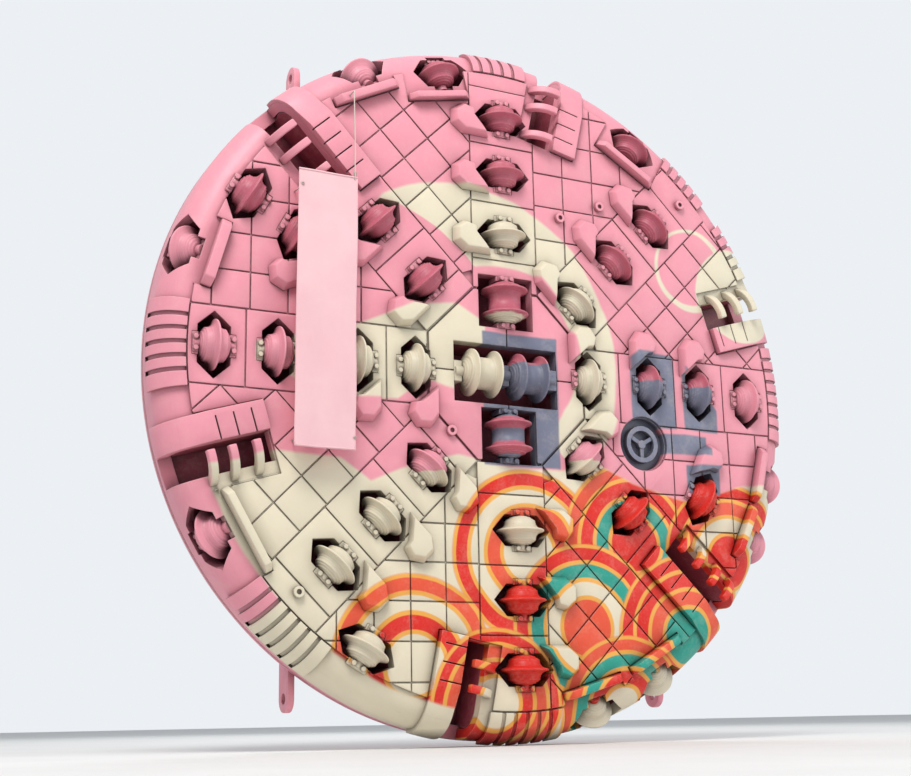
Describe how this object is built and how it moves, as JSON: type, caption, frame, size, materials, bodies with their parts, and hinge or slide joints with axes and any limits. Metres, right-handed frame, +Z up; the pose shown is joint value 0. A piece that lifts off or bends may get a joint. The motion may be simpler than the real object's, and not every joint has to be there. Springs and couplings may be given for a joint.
{
  "type": "tunnel boring machine cutterhead",
  "caption": "Round steel cutterhead with freely turning disc cutters in pockets, muck openings with scrapers, wear tiles, a hooped rim and a bolted rear flange.",
  "frame": {"origin": "centre of the drive flange's rear face", "axes": "-Y out of the cutting face, +Z up as the head is shown, +X to the right seen from the front"},
  "size_m": [6.4648, 1.707, 6.4648],
  "materials": {
    "pink_paint": "semi-gloss paint with dust and scuffs",
    "rose_paint": "darker pink paint in the recesses",
    "cream_paint": "cream paint",
    "slate_paint": "slate blue-grey paint",
    "red_paint": "red paint",
    "banner_cloth": "blank pale pink cloth"
  },
  "bodies": {
    "head": {"face_centre": "pink_paint", "face_segments": "pink_paint", "rim_hoop": "pink_paint", "back_plate": "rose_paint", "web_plates": "rose_paint", "support_arms": "rose_paint", "drive_flange": "rose_paint", "cutter_housings": "rose_paint", "cutter_shafts": "rose_paint", "wear_tiles": "pink_paint", "deflectors": "pink_paint", "scrapers": "pink_paint", "grate_teeth": "cream_paint", "edge_wear_blocks": "cream_paint", "gauge_bars": "rose_paint", "lifting_lugs": "pink_paint", "manhole_cover": "slate_paint", "spray_nozzles": "rose_paint", "banner": "banner_cloth"},
    "face_disc_01_body": {"face_disc_01": "cream_paint"},
    "face_disc_02_body": {"face_disc_02": "rose_paint"},
    "face_disc_03_body": {"face_disc_03": "rose_paint"},
    "face_disc_04_body": {"face_disc_04": "cream_paint"},
    "face_disc_05_body": {"face_disc_05": "rose_paint"},
    "face_disc_06_body": {"face_disc_06": "rose_paint"},
    "face_disc_07_body": {"face_disc_07": "cream_paint"},
    "face_disc_08_body": {"face_disc_08": "slate_paint"},
    "face_disc_09_body": {"face_disc_09": "slate_paint"},
    "face_disc_10_body": {"face_disc_10": "pink_paint"},
    "face_disc_11_body": {"face_disc_11": "pink_paint"},
    "face_disc_12_body": {"face_disc_12": "red_paint"},
    "face_disc_13_body": {"face_disc_13": "cream_paint"},
    "face_disc_14_body": {"face_disc_14": "red_paint"},
    "face_disc_15_body": {"face_disc_15": "red_paint"},
    "face_disc_16_body": {"face_disc_16": "pink_paint"},
    "face_disc_17_body": {"face_disc_17": "cream_paint"},
    "face_disc_18_body": {"face_disc_18": "cream_paint"},
    "face_disc_19_body": {"face_disc_19": "cream_paint"},
    "face_disc_20_body": {"face_disc_20": "cream_paint"},
    "face_disc_21_body": {"face_disc_21": "pink_paint"},
    "face_disc_22_body": {"face_disc_22": "pink_paint"},
    "face_disc_23_body": {"face_disc_23": "rose_paint"},
    "face_disc_24_body": {"face_disc_24": "rose_paint"},
    "face_disc_25_body": {"face_disc_25": "red_paint"},
    "face_disc_26_body": {"face_disc_26": "rose_paint"},
    "face_disc_27_body": {"face_disc_27": "rose_paint"},
    "face_disc_28_body": {"face_disc_28": "cream_paint"},
    "gauge_disc_1_body": {"gauge_disc_1": "pink_paint"},
    "gauge_disc_2_body": {"gauge_disc_2": "pink_paint"},
    "gauge_disc_3_body": {"gauge_disc_3": "pink_paint"},
    "gauge_disc_4_body": {"gauge_disc_4": "rose_paint"},
    "gauge_disc_5_body": {"gauge_disc_5": "rose_paint"},
    "gauge_disc_6_body": {"gauge_disc_6": "pink_paint"},
    "gauge_disc_7_body": {"gauge_disc_7": "pink_paint"},
    "gauge_disc_8_body": {"gauge_disc_8": "cream_paint"},
    "gauge_disc_9_body": {"gauge_disc_9": "cream_paint"},
    "twin_disc_1_body": {"twin_disc_1": "rose_paint"},
    "twin_disc_2_body": {"twin_disc_2": "rose_paint"},
    "twin_disc_3_body": {"twin_disc_3": "cream_paint"},
    "twin_disc_4_body": {"twin_disc_4": "slate_paint"}
  },
  "joints": [
    {"name": "face_disc_01_spin", "type": "hinge", "parent": "head", "child": "face_disc_01_body", "pos_m": [0, -1.47, 1.338], "axis": [0, 0, 1], "continuous": true},
    {"name": "face_disc_02_spin", "type": "hinge", "parent": "head", "child": "face_disc_02_body", "pos_m": [0, -1.47, 1.942], "axis": [0, 0, 1], "continuous": true},
    {"name": "face_disc_03_spin", "type": "hinge", "parent": "head", "child": "face_disc_03_body", "pos_m": [0, -1.47, 2.499], "axis": [0, 0, 1], "continuous": true},
    {"name": "face_disc_04_spin", "type": "hinge", "parent": "head", "child": "face_disc_04_body", "pos_m": [0.76226, -1.47, 0.76226], "axis": [0.7071, 0, 0.7071], "continuous": true},
    {"name": "face_disc_05_spin", "type": "hinge", "parent": "head", "child": "face_disc_05_body", "pos_m": [1.20562, -1.47, 1.24239], "axis": [0.7071, 0, 0.7071], "continuous": true},
    {"name": "face_disc_06_spin", "type": "hinge", "parent": "head", "child": "face_disc_06_body", "pos_m": [1.65039, -1.47, 1.67584], "axis": [0.7071, 0, 0.7071], "continuous": true},
    {"name": "face_disc_07_spin", "type": "hinge", "parent": "head", "child": "face_disc_07_body", "pos_m": [0.858, -1.47, 0.03], "axis": [1, 0, 0], "continuous": true},
    {"name": "face_disc_08_spin", "type": "hinge", "parent": "head", "child": "face_disc_08_body", "pos_m": [1.533, -1.47, 0.04], "axis": [1, 0, 0], "continuous": true},
    {"name": "face_disc_09_spin", "type": "hinge", "parent": "head", "child": "face_disc_09_body", "pos_m": [2.106, -1.47, 0.026], "axis": [1, 0, 0], "continuous": true},
    {"name": "face_disc_10_spin", "type": "hinge", "parent": "head", "child": "face_disc_10_body", "pos_m": [2.682, -1.47, 0], "axis": [1, 0, 0], "continuous": true},
    {"name": "face_disc_11_spin", "type": "hinge", "parent": "head", "child": "face_disc_11_body", "pos_m": [0.78489, -1.47, -0.70286], "axis": [0.7071, 0, -0.7071], "continuous": true},
    {"name": "face_disc_12_spin", "type": "hinge", "parent": "head", "child": "face_disc_12_body", "pos_m": [1.26148, -1.47, -1.1837], "axis": [0.7071, 0, -0.7071], "continuous": true},
    {"name": "face_disc_13_spin", "type": "hinge", "parent": "head", "child": "face_disc_13_body", "pos_m": [0.09, -1.47, -1.402], "axis": [0, 0, -1], "continuous": true},
    {"name": "face_disc_14_spin", "type": "hinge", "parent": "head", "child": "face_disc_14_body", "pos_m": [0.09, -1.47, -2.01], "axis": [0, 0, -1], "continuous": true},
    {"name": "face_disc_15_spin", "type": "hinge", "parent": "head", "child": "face_disc_15_body", "pos_m": [0.09, -1.47, -2.605], "axis": [0, 0, -1], "continuous": true},
    {"name": "face_disc_16_spin", "type": "hinge", "parent": "head", "child": "face_disc_16_body", "pos_m": [-0.79903, -1.47, -0.89378], "axis": [-0.7071, 0, -0.7071], "continuous": true},
    {"name": "face_disc_17_spin", "type": "hinge", "parent": "head", "child": "face_disc_17_body", "pos_m": [-1.24026, -1.47, -1.33502], "axis": [-0.7071, 0, -0.7071], "continuous": true},
    {"name": "face_disc_18_spin", "type": "hinge", "parent": "head", "child": "face_disc_18_body", "pos_m": [-1.66241, -1.47, -1.75716], "axis": [-0.7071, 0, -0.7071], "continuous": true},
    {"name": "face_disc_19_spin", "type": "hinge", "parent": "head", "child": "face_disc_19_body", "pos_m": [-0.915, -1.47, -0.01], "axis": [-1, 0, 0], "continuous": true},
    {"name": "face_disc_20_spin", "type": "hinge", "parent": "head", "child": "face_disc_20_body", "pos_m": [-1.462, -1.47, 0], "axis": [-1, 0, 0], "continuous": true},
    {"name": "face_disc_21_spin", "type": "hinge", "parent": "head", "child": "face_disc_21_body", "pos_m": [-2.182, -1.47, 0], "axis": [-1, 0, 0], "continuous": true},
    {"name": "face_disc_22_spin", "type": "hinge", "parent": "head", "child": "face_disc_22_body", "pos_m": [-2.73, -1.47, 0], "axis": [-1, 0, 0], "continuous": true},
    {"name": "face_disc_23_spin", "type": "hinge", "parent": "head", "child": "face_disc_23_body", "pos_m": [-0.81034, -1.47, 0.81034], "axis": [-0.7071, 0, 0.7071], "continuous": true},
    {"name": "face_disc_24_spin", "type": "hinge", "parent": "head", "child": "face_disc_24_body", "pos_m": [-1.26713, -1.47, 1.29542], "axis": [-0.7071, 0, 0.7071], "continuous": true},
    {"name": "face_disc_25_spin", "type": "hinge", "parent": "head", "child": "face_disc_25_body", "pos_m": [2.07442, -1.47, -1.01176], "axis": [0.8988, 0, -0.4384], "continuous": true},
    {"name": "face_disc_26_spin", "type": "hinge", "parent": "head", "child": "face_disc_26_body", "pos_m": [-2.00429, -1.47, 1.0657], "axis": [-0.8829, 0, 0.4695], "continuous": true},
    {"name": "face_disc_27_spin", "type": "hinge", "parent": "head", "child": "face_disc_27_body", "pos_m": [-2.45418, -1.47, 1.36038], "axis": [-0.8746, 0, 0.4848], "continuous": true},
    {"name": "face_disc_28_spin", "type": "hinge", "parent": "head", "child": "face_disc_28_body", "pos_m": [-1.39051, -1.47, -2.43457], "axis": [-0.515, 0, -0.8572], "continuous": true},
    {"name": "gauge_disc_1_spin", "type": "hinge", "parent": "head", "child": "gauge_disc_1_body", "pos_m": [-2.91764, -1.29786, 0.83662], "axis": [-0.5094, 0.848, 0.1461], "continuous": true},
    {"name": "gauge_disc_2_spin", "type": "hinge", "parent": "head", "child": "gauge_disc_2_body", "pos_m": [-2.62858, -1.29786, -1.51761], "axis": [-0.4589, 0.848, -0.265], "continuous": true},
    {"name": "gauge_disc_3_spin", "type": "hinge", "parent": "head", "child": "gauge_disc_3_body", "pos_m": [-1.37262, -1.31467, 2.69391], "axis": [-0.2795, 0.788, 0.5486], "continuous": true},
    {"name": "gauge_disc_4_spin", "type": "hinge", "parent": "head", "child": "gauge_disc_4_body", "pos_m": [-0.60773, -1.38241, 2.85915], "axis": [-0.1999, 0.2756, 0.9403], "continuous": true},
    {"name": "gauge_disc_5_spin", "type": "hinge", "parent": "head", "child": "gauge_disc_5_body", "pos_m": [1.49517, -1.38702, 2.48839], "axis": [0.5072, 0.1736, 0.8441], "continuous": true},
    {"name": "gauge_disc_6_spin", "type": "hinge", "parent": "head", "child": "gauge_disc_6_body", "pos_m": [2.9384, -1.28602, -0.78734], "axis": [0.4535, 0.8829, -0.1215], "continuous": true},
    {"name": "gauge_disc_7_spin", "type": "hinge", "parent": "head", "child": "gauge_disc_7_body", "pos_m": [2.71584, -1.27372, -1.38379], "axis": [0.3624, 0.9135, -0.1847], "continuous": true},
    {"name": "gauge_disc_8_spin", "type": "hinge", "parent": "head", "child": "gauge_disc_8_body", "pos_m": [1.52103, -1.28602, -2.6345], "axis": [0.2347, 0.8829, -0.4066], "continuous": true},
    {"name": "gauge_disc_9_spin", "type": "hinge", "parent": "head", "child": "gauge_disc_9_body", "pos_m": [0.83662, -1.29786, -2.91764], "axis": [0.1461, 0.848, -0.5094], "continuous": true},
    {"name": "twin_disc_1_spin", "type": "hinge", "parent": "head", "child": "twin_disc_1_body", "pos_m": [0, -1.47, 0.688], "axis": [0, 0, 1], "continuous": true},
    {"name": "twin_disc_2_spin", "type": "hinge", "parent": "head", "child": "twin_disc_2_body", "pos_m": [0, -1.47, -0.56], "axis": [0, 0, -1], "continuous": true},
    {"name": "twin_disc_3_spin", "type": "hinge", "parent": "head", "child": "twin_disc_3_body", "pos_m": [-0.262, -1.47, 0], "axis": [-1, 0, 0], "continuous": true},
    {"name": "twin_disc_4_spin", "type": "hinge", "parent": "head", "child": "twin_disc_4_body", "pos_m": [0.214, -1.47, 0], "axis": [1, 0, 0], "continuous": true}
  ]
}
